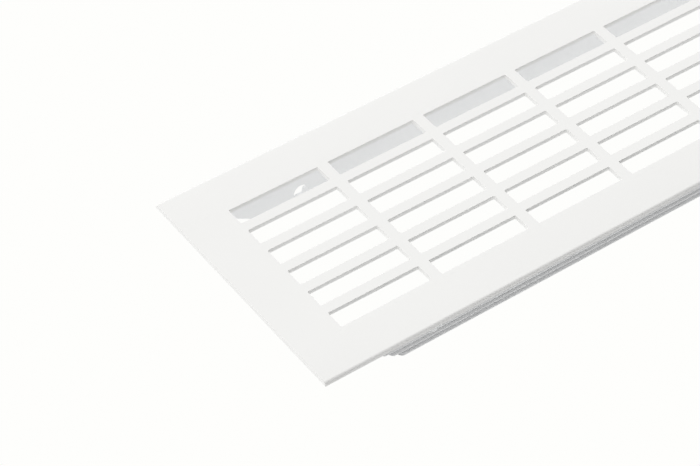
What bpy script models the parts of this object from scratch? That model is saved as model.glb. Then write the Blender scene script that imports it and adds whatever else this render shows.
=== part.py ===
"""Slotted ventilation strip: one punched face plate with two ribbed legs under it.

Metres, +Z up.  X runs along the strip, Y across it, and the legs stand on Z = 0.
"""
import math

import bmesh
import bpy

# Face plate
PLATE_LENGTH = 0.500
PLATE_WIDTH = 0.081
PLATE_THICKNESS = 0.0014
EDGE_RADIUS = 0.0008
EDGE_STEPS = 6

# Punched slots
SLOT_COLUMNS = 14
SLOT_ROWS = 6
COLUMN_PITCH = 0.0338
ROW_PITCH = 0.00946
SLOT_LENGTH = 0.0303
SLOT_WIDTH = 0.0062

# Legs
OVERALL_HEIGHT = 0.0172
LEG_INNER_Y = 0.0309
WEB_THICKNESS = 0.0012
RIB_COUNT = 3
RIB_PITCH = 0.00185
RIB_RADIUS = 0.00090
RIB_STEPS = 8
LEG_GAP = 0.0003

# Slanted leg ends, measured from the plate end at the plate underside
SLANT_START = 0.0066
SLANT_SLOPE = 0.6

# Fixing holes near the leg ends
HOLE_RADIUS = 0.00235
HOLE_FROM_END = 0.0426
HOLE_BELOW_TOP = 0.0115
HOLE_SIDES = 32

# Cutters reach this far past the material they cut
CUT_MARGIN = 0.004

# Vertices closer than this are one vertex
WELD_DISTANCE = 0.00001

# Edges that turn more than this stay crisp
SHARP_ANGLE = math.radians(30)

# Derived levels
PLATE_TOP_Z = OVERALL_HEIGHT
PLATE_UNDER_Z = OVERALL_HEIGHT - PLATE_THICKNESS
LEG_TOP_Z = PLATE_UNDER_Z - LEG_GAP
HALF_LENGTH = PLATE_LENGTH / 2
HALF_WIDTH = PLATE_WIDTH / 2
WEB_OUTER_Y = LEG_INNER_Y + WEB_THICKNESS


def clear_scene():
    """Remove every object that is already in the file."""
    for obj in list(bpy.data.objects):
        bpy.data.objects.remove(obj, do_unlink=True)


def new_collection(name):
    """Make a collection and hang it in the scene."""
    collection = bpy.data.collections.new(name)
    bpy.context.scene.collection.children.link(collection)
    return collection


def principled(name, colour, roughness, coat):
    """Make a painted finish from a Principled shader."""
    material = bpy.data.materials.new(name)
    material.use_nodes = True
    shader = material.node_tree.nodes["Principled BSDF"]
    shader.inputs["Base Color"].default_value = (colour[0], colour[1], colour[2], 1.0)
    shader.inputs["Roughness"].default_value = roughness
    shader.inputs["Metallic"].default_value = 0.0
    shader.inputs["Coat Weight"].default_value = coat
    return material


def plate_coating():
    """White powder coat on the face plate."""
    return principled("plate_coating", (0.86, 0.86, 0.85), 0.45, 0.05)


def leg_coating():
    """The same white coat on the legs, a little cooler and duller."""
    return principled("leg_coating", (0.82, 0.83, 0.83), 0.50, 0.0)


def arc_points(centre_y, centre_z, radius, start, end, steps):
    """Return points on an arc in the YZ plane, with angles in radians from +Y."""
    points = []
    for step in range(steps + 1):
        angle = start + (end - start) * step / steps
        points.append((centre_y + radius * math.cos(angle), centre_z + radius * math.sin(angle)))
    return points


def plate_profile():
    """Cross-section of the plate: flat below, long top edges rounded."""
    corner_y = HALF_WIDTH - EDGE_RADIUS
    corner_z = PLATE_TOP_Z - EDGE_RADIUS
    points = [(-HALF_WIDTH, PLATE_UNDER_Z), (HALF_WIDTH, PLATE_UNDER_Z)]
    points += arc_points(corner_y, corner_z, EDGE_RADIUS, 0.0, math.pi / 2, EDGE_STEPS)
    points += arc_points(-corner_y, corner_z, EDGE_RADIUS, math.pi / 2, math.pi, EDGE_STEPS)
    return points


def rib_centres():
    """Heights of the rib centres, lowest first; the lowest rib reaches Z = 0."""
    return [RIB_RADIUS + index * RIB_PITCH for index in range(RIB_COUNT)]


def leg_profile(side):
    """Cross-section of one leg: plain inner face, half-round ribs outside."""
    outer = side * WEB_OUTER_Y
    inner = side * LEG_INNER_Y
    points = [(inner, LEG_TOP_Z), (inner, 0.0)]
    for centre_z in rib_centres():
        for y, z in arc_points(0.0, centre_z, RIB_RADIUS, -math.pi / 2, math.pi / 2, RIB_STEPS):
            points.append((outer + side * y, z))
    points.append((outer, LEG_TOP_Z))
    return points


def extruded_profile(name, points, length, collection):
    """Extrude a closed YZ cross-section along X, centred on X = 0."""
    curve = bpy.data.curves.new(name + "_profile", "CURVE")
    curve.dimensions = "2D"
    curve.fill_mode = "BOTH"
    curve.extrude = length / 2
    spline = curve.splines.new("POLY")
    spline.points.add(len(points) - 1)
    for index, (y, z) in enumerate(points):
        spline.points[index].co = (y, z, 0.0, 1.0)
    spline.use_cyclic_u = True
    sketch = bpy.data.objects.new(name + "_sketch", curve)
    sketch.rotation_euler = (math.pi / 2, 0.0, math.pi / 2)
    collection.objects.link(sketch)
    bpy.context.view_layer.update()
    graph = bpy.context.evaluated_depsgraph_get()
    mesh = bpy.data.meshes.new_from_object(sketch.evaluated_get(graph))
    mesh.name = name
    weld(mesh)
    obj = bpy.data.objects.new(name, mesh)
    obj.matrix_world = sketch.matrix_world
    bpy.data.objects.remove(sketch, do_unlink=True)
    collection.objects.link(obj)
    return obj


def weld(mesh):
    """Join an extruded outline's end caps to its sides."""
    work = bmesh.new()
    work.from_mesh(mesh)
    bmesh.ops.remove_doubles(work, verts=work.verts, dist=WELD_DISTANCE)
    bmesh.ops.recalc_face_normals(work, faces=work.faces)
    work.to_mesh(mesh)
    work.free()


def hide_cutter(cutter, cutters):
    """Keep a cutter out of the picture and in its own collection."""
    for collection in list(cutter.users_collection):
        collection.objects.unlink(cutter)
    cutters.objects.link(cutter)
    cutter.hide_render = True
    cutter.display_type = "WIRE"


def box_cutter(name, size, location, tilt, cutters):
    """Make a box cutter, turned about Y by tilt radians."""
    bpy.ops.mesh.primitive_cube_add(size=1.0, location=location)
    cutter = bpy.context.active_object
    cutter.name = name
    for vertex in cutter.data.vertices:
        vertex.co = (vertex.co.x * size[0], vertex.co.y * size[1], vertex.co.z * size[2])
    cutter.rotation_euler = (0.0, tilt, 0.0)
    hide_cutter(cutter, cutters)
    return cutter


def repeat(cutter, axis, count, pitch):
    """Repeat a cutter along one axis at a constant pitch."""
    array = cutter.modifiers.new("repeat_" + axis, "ARRAY")
    array.count = count
    array.use_relative_offset = False
    array.use_constant_offset = True
    array.constant_offset_displace = (0.0, 0.0, 0.0)
    if axis == "x":
        array.constant_offset_displace[0] = pitch
    else:
        array.constant_offset_displace[1] = pitch


def cut(obj, cutter):
    """Subtract a cutter with an exact Boolean."""
    modifier = obj.modifiers.new("cut_" + cutter.name, "BOOLEAN")
    modifier.operation = "DIFFERENCE"
    modifier.solver = "EXACT"
    modifier.object = cutter


def slot_cutter(cutters):
    """Make one slot box and repeat it over the whole field."""
    first_x = -COLUMN_PITCH * (SLOT_COLUMNS - 1) / 2
    first_y = -ROW_PITCH * (SLOT_ROWS - 1) / 2
    middle_z = PLATE_TOP_Z - PLATE_THICKNESS / 2
    size = (SLOT_LENGTH, SLOT_WIDTH, PLATE_THICKNESS + CUT_MARGIN)
    cutter = box_cutter("slots", size, (first_x, first_y, middle_z), 0.0, cutters)
    repeat(cutter, "x", SLOT_COLUMNS, COLUMN_PITCH)
    repeat(cutter, "y", SLOT_ROWS, ROW_PITCH)
    return cutter


def slant_cutter(name, side_y, end, cutters):
    """Make the box that slants one leg end; its upper cutting face leaves the plate end."""
    slant = math.atan(SLANT_SLOPE)
    block = 2 * OVERALL_HEIGHT + CUT_MARGIN
    start_x = HALF_LENGTH - SLANT_START
    along = block / 2
    centre_x = start_x - math.cos(slant) * along + math.sin(slant) * along
    centre_z = PLATE_UNDER_Z - math.sin(slant) * along - math.cos(slant) * along
    reach = 3 * block
    size = (reach, 2 * CUT_MARGIN + 2 * WEB_THICKNESS, block)
    return box_cutter(name, size, (end * centre_x, side_y, centre_z), end * -slant, cutters)


def leg_hole_cutter(name, side_y, end, cutters):
    """Make the round fixing-hole cutter near one leg end."""
    location = (end * (HALF_LENGTH - HOLE_FROM_END), side_y, PLATE_TOP_Z - HOLE_BELOW_TOP)
    bpy.ops.mesh.primitive_cylinder_add(
        vertices=HOLE_SIDES,
        radius=HOLE_RADIUS,
        depth=2 * CUT_MARGIN + 2 * WEB_THICKNESS,
        location=location,
        rotation=(math.pi / 2, 0.0, 0.0),
    )
    cutter = bpy.context.active_object
    cutter.name = name
    hide_cutter(cutter, cutters)
    return cutter


def smooth_rounds(obj):
    """Shade round faces smooth and keep real corners crisp."""
    for polygon in obj.data.polygons:
        polygon.use_smooth = True
    obj.data.set_sharp_from_angle(angle=SHARP_ANGLE)


def face_plate(parts, cutters):
    """Flat plate with its field of punched slots."""
    plate = extruded_profile("face_plate", plate_profile(), PLATE_LENGTH, parts)
    plate.data.materials.append(plate_coating())
    smooth_rounds(plate)
    cut(plate, slot_cutter(cutters))
    return plate


def leg(name, side, coating, parts, cutters):
    """One ribbed leg with slanted ends and a round hole near each end."""
    body = extruded_profile(name, leg_profile(side), PLATE_LENGTH - 2 * SLANT_START, parts)
    body.data.materials.append(coating)
    smooth_rounds(body)
    side_y = side * WEB_OUTER_Y
    for end, label in ((-1, "left"), (1, "right")):
        cut(body, slant_cutter(name + "_slant_" + label, side_y, end, cutters))
        cut(body, leg_hole_cutter(name + "_hole_" + label, side_y, end, cutters))
    return body


def build():
    """Build the whole strip."""
    clear_scene()
    parts = new_collection("ventilation_strip")
    cutters = new_collection("cutters")
    coating = leg_coating()
    face_plate(parts, cutters)
    leg("front_leg", -1, coating, parts, cutters)
    leg("rear_leg", 1, coating, parts, cutters)


build()
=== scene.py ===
"""Slotted ventilation strip: finer surfaces, finishes, studio and camera over the CAD frame."""
import math

import bmesh
import bpy
from mathutils import Matrix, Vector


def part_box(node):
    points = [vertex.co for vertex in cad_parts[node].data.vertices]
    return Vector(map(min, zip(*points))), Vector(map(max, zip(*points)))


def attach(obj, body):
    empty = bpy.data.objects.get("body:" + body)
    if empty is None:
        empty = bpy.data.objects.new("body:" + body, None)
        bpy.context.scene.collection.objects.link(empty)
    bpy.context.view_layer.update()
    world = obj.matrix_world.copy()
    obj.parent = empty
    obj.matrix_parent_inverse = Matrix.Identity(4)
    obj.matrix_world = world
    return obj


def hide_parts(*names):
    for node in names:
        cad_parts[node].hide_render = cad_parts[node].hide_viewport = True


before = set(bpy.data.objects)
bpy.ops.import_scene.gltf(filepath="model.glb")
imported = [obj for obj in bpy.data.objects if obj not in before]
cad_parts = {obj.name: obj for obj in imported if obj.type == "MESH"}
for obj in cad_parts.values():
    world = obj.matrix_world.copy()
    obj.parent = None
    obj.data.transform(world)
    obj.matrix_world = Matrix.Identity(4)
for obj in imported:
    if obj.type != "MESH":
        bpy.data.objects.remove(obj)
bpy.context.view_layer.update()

PLATE_LOW, PLATE_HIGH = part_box("face_plate")

# Plate, in metres
EDGE_RADIUS = 0.0008
EDGE_STEPS = 10
SLOT_COLUMNS = 14
SLOT_ROWS = 6
COLUMN_PITCH = 0.0338
ROW_PITCH = 0.00946
SLOT_LENGTH = 0.0303
SLOT_WIDTH = 0.0062
CORNER_RADIUS = 0.0004
CORNER_SEGMENTS = 4
PLATE_CREASE = 0.00004
END_MARGIN = 0.001
SIDE_MARGIN = 0.002

# Legs, in metres
LEG_INNER_Y = 0.0309
WEB_THICKNESS = 0.0010
RIB_COUNT = 3
RIB_PITCH = 0.00185
RIB_RADIUS = 0.00090
RIB_DEPTH = 0.00110
RIB_STEPS = 16
ROOT_RADIUS = 0.0005
ROOT_STEPS = 6
ROOT_DEPTH = 0.0004
SLANT_START = 0.0066
SLANT_SLOPE = 0.6
HOLE_RADIUS = 0.00235
HOLE_FROM_END = 0.0426
HOLE_BELOW_TOP = 0.0115
HOLE_SIDES = 64
LEG_CREASE = 0.00005

# Softened creases, and the distance under which two coordinates count as one
CREASE_ANGLE = math.radians(35)
CREASE_SEGMENTS = 3
SAME_PLACE = 1e-6

# Powder coat: the light and dark ends of its tone drift, then its gloss and texture
PLATE_TONES = (0.885, 0.883, 0.868), (0.872, 0.870, 0.855)
PLATE_ROUGHNESS = 0.46
# The legs' tones are the plate's white made darker and bluer: painted shade for the shade the legs
# sit in under the plate
LEG_SHADED_TONES = (0.850, 0.858, 0.862), (0.838, 0.846, 0.850)
LEG_ROUGHNESS = 0.50
ROUGHNESS_SPREAD = 0.04
DRIFT_SCALE = 22.0
DRIFT_LOW = 0.30
DRIFT_HIGH = 0.70
PEEL_SCALE = 620.0
PEEL_STRENGTH = 0.35
PEEL_HEIGHT = 0.00004
MOTTLE_SCALE = 180.0
COAT_SPECULAR = 0.4

# Light table and sky; WHITE_SEEN is what the camera sees of both
WHITE_SEEN = (0.990, 0.990, 0.974)
FLOOR_SIZE = 12.0
FLOOR_DROP = 0.0002
FLOOR_GLOW = 1.05

# Each studio light: azimuth from +X and elevation in degrees, narrowness and strength
SOFT_LIGHTS = (
    (0.0, 90.0, 8.0, 1.19),
    (0.0, 90.0, 2.0, 0.24),
    (180.0, 50.0, 4.0, 0.7),
    (90.0, 50.0, 4.0, 0.95),
    (180.0, 15.0, 3.0, 0.32),
    (135.0, 15.0, 3.0, 0.45),
    (90.0, 15.0, 3.0, 0.45),
    (45.0, 15.0, 3.0, 0.3),
)

# Camera, fitted to the slot grid's perspective: place in metres, lens and sensor in millimetres
CAMERA_AT = (-0.52158, -0.41148, 0.54272)
CAMERA_AZIMUTH = math.radians(36.90)
CAMERA_ELEVATION = math.radians(45.584)
CAMERA_ROLL = math.radians(1.265)
CAMERA_LENS = 137.22
CAMERA_SENSOR = 36.0
CAMERA_NEAR = 0.01


# Shapes

def link(name, data):
    """Make an object from a mesh or a camera and put it in the scene."""
    obj = bpy.data.objects.new(name, data)
    bpy.context.scene.collection.objects.link(obj)
    return obj


def finished_mesh(name, work):
    """Turn a bmesh into a mesh."""
    mesh = bpy.data.meshes.new(name)
    work.to_mesh(mesh)
    work.free()
    return mesh


def soften(obj, width):
    """Round the piece's crisp edges a little and shade it smooth."""
    for polygon in obj.data.polygons:
        polygon.use_smooth = True
    bevel = obj.modifiers.new("soft_edges", "BEVEL")
    bevel.width = width
    bevel.segments = CREASE_SEGMENTS
    bevel.limit_method = "ANGLE"
    bevel.angle_limit = CREASE_ANGLE
    bevel.harden_normals = True


def quarter_turns(steps):
    """Sine and cosine of each equal step of a quarter turn, without its start."""
    turns = [math.pi / 2 * step / steps for step in range(1, steps + 1)]
    return [(math.sin(turn), math.cos(turn)) for turn in turns]


def slot_edges(count, pitch, size):
    """Coordinates of both edges of each slot along one axis, lowest first."""
    edges = []
    for index in range(count):
        centre = (index - (count - 1) / 2) * pitch
        edges += [centre - size / 2, centre + size / 2]
    return edges


def plate_loop(rows):
    """Cross-section of the plate as one loop: along the top, round the edge, back underneath."""
    top, under = PLATE_HIGH.z, PLATE_LOW.z
    flat = PLATE_HIGH.y - EDGE_RADIUS
    ys = [-flat] + rows + [flat]
    rounding = [
        (flat + EDGE_RADIUS * sine, top - EDGE_RADIUS + EDGE_RADIUS * cosine)
        for sine, cosine in quarter_turns(EDGE_STEPS)
    ]
    loop = [(y, top) for y in ys]
    loop += rounding
    loop.append((PLATE_HIGH.y, under))
    loop += [(y, under) for y in reversed(ys)]
    loop.append((PLATE_LOW.y, under))
    loop += [(-y, z) for y, z in reversed(rounding)]
    return ys, loop


def round_slots(work):
    """Give the punched slots their small corner radius."""
    corners = []
    for edge in work.edges:
        a, b = edge.verts[0].co, edge.verts[1].co
        upright = abs(a.x - b.x) < SAME_PLACE and abs(a.y - b.y) < SAME_PLACE
        inside = abs(a.x) < PLATE_HIGH.x - END_MARGIN and abs(a.y) < PLATE_HIGH.y - SIDE_MARGIN
        if upright and inside:
            corners.append(edge)
    bmesh.ops.bevel(
        work,
        geom=corners,
        offset=CORNER_RADIUS,
        offset_type="OFFSET",
        segments=CORNER_SEGMENTS,
        profile=0.5,
        affect="EDGES",
    )


def plate_mesh():
    """The punched sheet: cross-section loops joined along X, open at the slots and walled there."""
    rows = slot_edges(SLOT_ROWS, ROW_PITCH, SLOT_WIDTH)
    columns = slot_edges(SLOT_COLUMNS, COLUMN_PITCH, SLOT_LENGTH)
    xs = [PLATE_LOW.x] + columns + [PLATE_HIGH.x]
    ys, loop = plate_loop(rows)
    count = len(loop)
    last_y = len(ys) - 1
    first_under = len(ys) + EDGE_STEPS + 1
    work = bmesh.new()
    grid = [[work.verts.new((x, y, z)) for y, z in loop] for x in xs]

    def under(j):
        """Index in the loop of the underside point below top point j."""
        return first_under + last_y - j

    slots = range(1, last_y, 2)
    open_faces = set(slots) | {under(j + 1) for j in slots}
    for i in range(len(xs) - 1):
        in_column = i % 2 == 1
        for j in range(count):
            if in_column and j in open_faces:
                continue
            k = (j + 1) % count
            work.faces.new((grid[i][j], grid[i + 1][j], grid[i + 1][k], grid[i][k]))
        if in_column:
            for j in slots:
                a, b = grid[i], grid[i + 1]
                top = (a[j], b[j], b[j + 1], a[j + 1])
                low = (a[under(j)], b[under(j)], b[under(j + 1)], a[under(j + 1)])
                for side in range(4):
                    after = (side + 1) % 4
                    work.faces.new((top[side], low[side], low[after], top[after]))
    for end in (grid[0], grid[-1]):
        for j in range(last_y):
            work.faces.new((end[j], end[j + 1], end[under(j + 1)], end[under(j)]))
        work.faces.new(end[last_y:first_under + 1])
        work.faces.new([end[0]] + end[under(0):])
    bmesh.ops.recalc_face_normals(work, faces=work.faces)
    round_slots(work)
    return finished_mesh("face_plate_fine", work)


def leg_section(side):
    """Cross-section of a leg: fillets at the root, plain inner face, rounded ribs outside."""
    under = PLATE_LOW.z
    inner = LEG_INNER_Y
    outer = LEG_INNER_Y + WEB_THICKNESS
    fillet = [
        (ROOT_RADIUS - ROOT_RADIUS * sine, under - ROOT_RADIUS + ROOT_RADIUS * cosine)
        for sine, cosine in quarter_turns(ROOT_STEPS)
    ]
    points = [(inner - ROOT_RADIUS, under + ROOT_DEPTH), (inner - ROOT_RADIUS, under)]
    points += [(inner - out, z) for out, z in fillet]
    points.append((inner, 0.0))
    for index in range(RIB_COUNT):
        centre = RIB_RADIUS + index * RIB_PITCH
        for step in range(RIB_STEPS + 1):
            turn = math.pi * step / RIB_STEPS - math.pi / 2
            y = outer + RIB_DEPTH * math.cos(turn)
            points.append((y, centre + RIB_RADIUS * math.sin(turn)))
    points += [(outer + out, z) for out, z in reversed(fillet)]
    points += [(outer + ROOT_RADIUS, under), (outer + ROOT_RADIUS, under + ROOT_DEPTH)]
    return [(side * y, z) for y, z in points]


def leg_mesh(name, side):
    """One leg between its two slanted ends."""
    reach = PLATE_HIGH.x - SLANT_START
    work = bmesh.new()
    rings = []
    for end in (-1, 1):
        ring = []
        for y, z in leg_section(side):
            x = end * (reach - (PLATE_LOW.z - min(z, PLATE_LOW.z)) / SLANT_SLOPE)
            ring.append(work.verts.new((x, y, z)))
        rings.append(ring)
    count = len(rings[0])
    for j in range(count):
        k = (j + 1) % count
        work.faces.new((rings[0][j], rings[0][k], rings[1][k], rings[1][j]))
    for ring in rings:
        work.faces.new(ring[1:-1])
        work.faces.new((ring[-1], ring[0], ring[1], ring[-2]))
    bmesh.ops.recalc_face_normals(work, faces=work.faces)
    return finished_mesh(name, work)


def drill(obj, side):
    """Cut the round hole near each end of a leg and keep the result as the leg's mesh."""
    at_y = side * (LEG_INNER_Y + WEB_THICKNESS)
    at_z = PLATE_HIGH.z - HOLE_BELOW_TOP
    for end in (-1, 1):
        bpy.ops.mesh.primitive_cylinder_add(
            vertices=HOLE_SIDES,
            radius=HOLE_RADIUS,
            depth=6 * WEB_THICKNESS,
            location=(end * (PLATE_HIGH.x - HOLE_FROM_END), at_y, at_z),
            rotation=(math.pi / 2, 0.0, 0.0),
        )
        drill_bit = bpy.context.active_object
        cut = obj.modifiers.new("hole", "BOOLEAN")
        cut.operation = "DIFFERENCE"
        cut.solver = "EXACT"
        cut.object = drill_bit
        bpy.context.view_layer.update()
        graph = bpy.context.evaluated_depsgraph_get()
        mesh = bpy.data.meshes.new_from_object(obj.evaluated_get(graph))
        obj.modifiers.clear()
        obj.data = mesh
        bpy.data.objects.remove(drill_bit, do_unlink=True)


# Finishes

def node(tree, kind, **inputs):
    """Add a shader node and set its unlinked inputs by name, with _ for each space."""
    made = tree.nodes.new(kind)
    for key, value in inputs.items():
        made.inputs[key.replace("_", " ")].default_value = value
    return made


def noise(tree, place, scale, detail, roughness):
    """A noise texture in the object's own coordinates; gives its value."""
    made = node(tree, "ShaderNodeTexNoise", Scale=scale, Detail=detail, Roughness=roughness)
    tree.links.new(place.outputs["Object"], made.inputs["Vector"])
    return made.outputs["Fac"]


def powder_coat(name, tones, roughness):
    """White powder coat: faint tone drift, orange-peel bump and uneven gloss."""
    light, dark = tones
    material = bpy.data.materials.new(name)
    material.use_nodes = True
    tree = material.node_tree
    shader = tree.nodes["Principled BSDF"]
    place = tree.nodes.new("ShaderNodeTexCoord")

    tone = tree.nodes.new("ShaderNodeValToRGB")
    tone.color_ramp.elements[0].position = DRIFT_LOW
    tone.color_ramp.elements[0].color = dark + (1.0,)
    tone.color_ramp.elements[1].position = DRIFT_HIGH
    tone.color_ramp.elements[1].color = light + (1.0,)
    tree.links.new(noise(tree, place, DRIFT_SCALE, 2.0, 0.5), tone.inputs["Fac"])
    tree.links.new(tone.outputs["Color"], shader.inputs["Base Color"])

    bump = node(tree, "ShaderNodeBump", Strength=PEEL_STRENGTH, Distance=PEEL_HEIGHT)
    tree.links.new(noise(tree, place, PEEL_SCALE, 3.0, 0.45), bump.inputs["Height"])
    tree.links.new(bump.outputs["Normal"], shader.inputs["Normal"])

    gloss = node(
        tree,
        "ShaderNodeMapRange",
        From_Min=0.3,
        From_Max=0.7,
        To_Min=roughness - ROUGHNESS_SPREAD,
        To_Max=roughness + ROUGHNESS_SPREAD,
    )
    tree.links.new(noise(tree, place, MOTTLE_SCALE, 2.0, 0.5), gloss.inputs["Value"])
    tree.links.new(gloss.outputs["Result"], shader.inputs["Roughness"])
    shader.inputs["Metallic"].default_value = 0.0
    shader.inputs["Specular IOR Level"].default_value = COAT_SPECULAR
    return material


# Pieces

def make_plate(material):
    """The face plate, finer than the CAD node it stands for."""
    plate = link("face_plate_fine", plate_mesh())
    soften(plate, PLATE_CREASE)
    plate.data.materials.append(material)
    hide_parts("face_plate")
    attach(plate, "root")


def make_leg(name, side, material):
    """A leg, finer than the CAD node it stands for."""
    leg = link(name + "_fine", leg_mesh(name + "_fine", side))
    drill(leg, side)
    soften(leg, LEG_CREASE)
    leg.data.materials.append(material)
    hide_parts(name)
    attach(leg, "root")


# Studio

def mix_shaders(tree, factor, first, second):
    """Mix two shaders: the first where the factor is 0, the second where it is 1."""
    mix = tree.nodes.new("ShaderNodeMixShader")
    tree.links.new(factor, mix.inputs["Fac"])
    tree.links.new(first, mix.inputs[1])
    tree.links.new(second, mix.inputs[2])
    return mix.outputs["Shader"]


def emission(tree, colour, strength):
    """Light of one colour; gives its shader output."""
    glow = node(tree, "ShaderNodeEmission", Color=colour + (1.0,), Strength=strength)
    return glow.outputs["Emission"]


def make_floor():
    """A pale light table: evenly white, lighting the underside softly, and clear from beneath."""
    bpy.ops.mesh.primitive_plane_add(size=FLOOR_SIZE, location=(0.0, 0.0, -FLOOR_DROP))
    floor = bpy.context.active_object
    floor.name = "floor"
    material = bpy.data.materials.new("light_table")
    material.use_nodes = True
    tree = material.node_tree
    tree.nodes.clear()
    seen = emission(tree, WHITE_SEEN, 1.0)
    glow = emission(tree, (1.0, 1.0, 1.0), FLOOR_GLOW)
    path = tree.nodes.new("ShaderNodeLightPath")
    lit = mix_shaders(tree, path.outputs["Is Camera Ray"], glow, seen)
    side = tree.nodes.new("ShaderNodeNewGeometry")
    clear = tree.nodes.new("ShaderNodeBsdfTransparent")
    both = mix_shaders(tree, side.outputs["Backfacing"], lit, clear.outputs["BSDF"])
    out = tree.nodes.new("ShaderNodeOutputMaterial")
    tree.links.new(both, out.inputs["Surface"])
    floor.data.materials.append(material)


def sky_math(tree, operation, first, second):
    """One step of arithmetic on a light's strength; second is a number or another strength."""
    step = tree.nodes.new("ShaderNodeMath")
    step.operation = operation
    tree.links.new(first, step.inputs[0])
    if isinstance(second, float):
        step.inputs[1].default_value = second
    else:
        tree.links.new(second, step.inputs[1])
    return step.outputs["Value"]


def soft_light(tree, direction, azimuth, elevation, narrowness, strength):
    """Strength of one broad light in the sky, fading smoothly away from its centre."""
    turn, rise = math.radians(azimuth), math.radians(elevation)
    facing = tree.nodes.new("ShaderNodeVectorMath")
    facing.operation = "DOT_PRODUCT"
    facing.inputs[1].default_value = (
        math.cos(turn) * math.cos(rise),
        math.sin(turn) * math.cos(rise),
        math.sin(rise),
    )
    tree.links.new(direction, facing.inputs[0])
    near = sky_math(tree, "MAXIMUM", facing.outputs["Value"], 0.0)
    faded = sky_math(tree, "POWER", near, narrowness)
    return sky_math(tree, "MULTIPLY", faded, strength)


def make_world():
    """A white studio lit by a few broad soft lights, seen as plain white."""
    world = bpy.data.worlds.new("studio")
    bpy.context.scene.world = world
    world.use_nodes = True
    tree = world.node_tree
    tree.nodes.clear()
    place = tree.nodes.new("ShaderNodeTexCoord")
    lights = [soft_light(tree, place.outputs["Generated"], *row) for row in SOFT_LIGHTS]
    total = lights[0]
    for light in lights[1:]:
        total = sky_math(tree, "ADD", total, light)
    studio = node(tree, "ShaderNodeBackground", Color=(1.0, 1.0, 1.0, 1.0))
    tree.links.new(total, studio.inputs["Strength"])
    seen = node(tree, "ShaderNodeBackground", Color=WHITE_SEEN + (1.0,), Strength=1.0)
    path = tree.nodes.new("ShaderNodeLightPath")
    sky = mix_shaders(
        tree,
        path.outputs["Is Camera Ray"],
        studio.outputs["Background"],
        seen.outputs["Background"],
    )
    out = tree.nodes.new("ShaderNodeOutputWorld")
    tree.links.new(sky, out.inputs["Surface"])


def make_camera():
    """The camera, from its fitted place and direction."""
    data = bpy.data.cameras.new("camera")
    data.lens = CAMERA_LENS
    data.sensor_width = CAMERA_SENSOR
    data.clip_start = CAMERA_NEAR
    camera = link("camera", data)
    turn = Matrix.Rotation(-CAMERA_AZIMUTH, 4, "Z")
    tilt = Matrix.Rotation(math.pi / 2 - CAMERA_ELEVATION, 4, "X")
    roll = Matrix.Rotation(CAMERA_ROLL, 4, "Z")
    camera.matrix_world = Matrix.Translation(CAMERA_AT) @ turn @ tilt @ roll
    bpy.context.scene.camera = camera


make_camera()
PLATE_COAT = powder_coat("plate_coat", PLATE_TONES, PLATE_ROUGHNESS)
# The legs get the darker, bluer copy of the white coat, which is painted shade
LEG_SHADED_COAT = powder_coat("leg_coat_painted_shade", LEG_SHADED_TONES, LEG_ROUGHNESS)
make_plate(PLATE_COAT)
make_leg("front_leg", -1, LEG_SHADED_COAT)
make_leg("rear_leg", 1, LEG_SHADED_COAT)
make_floor()
make_world()
bpy.context.scene.view_settings.view_transform = "Standard"
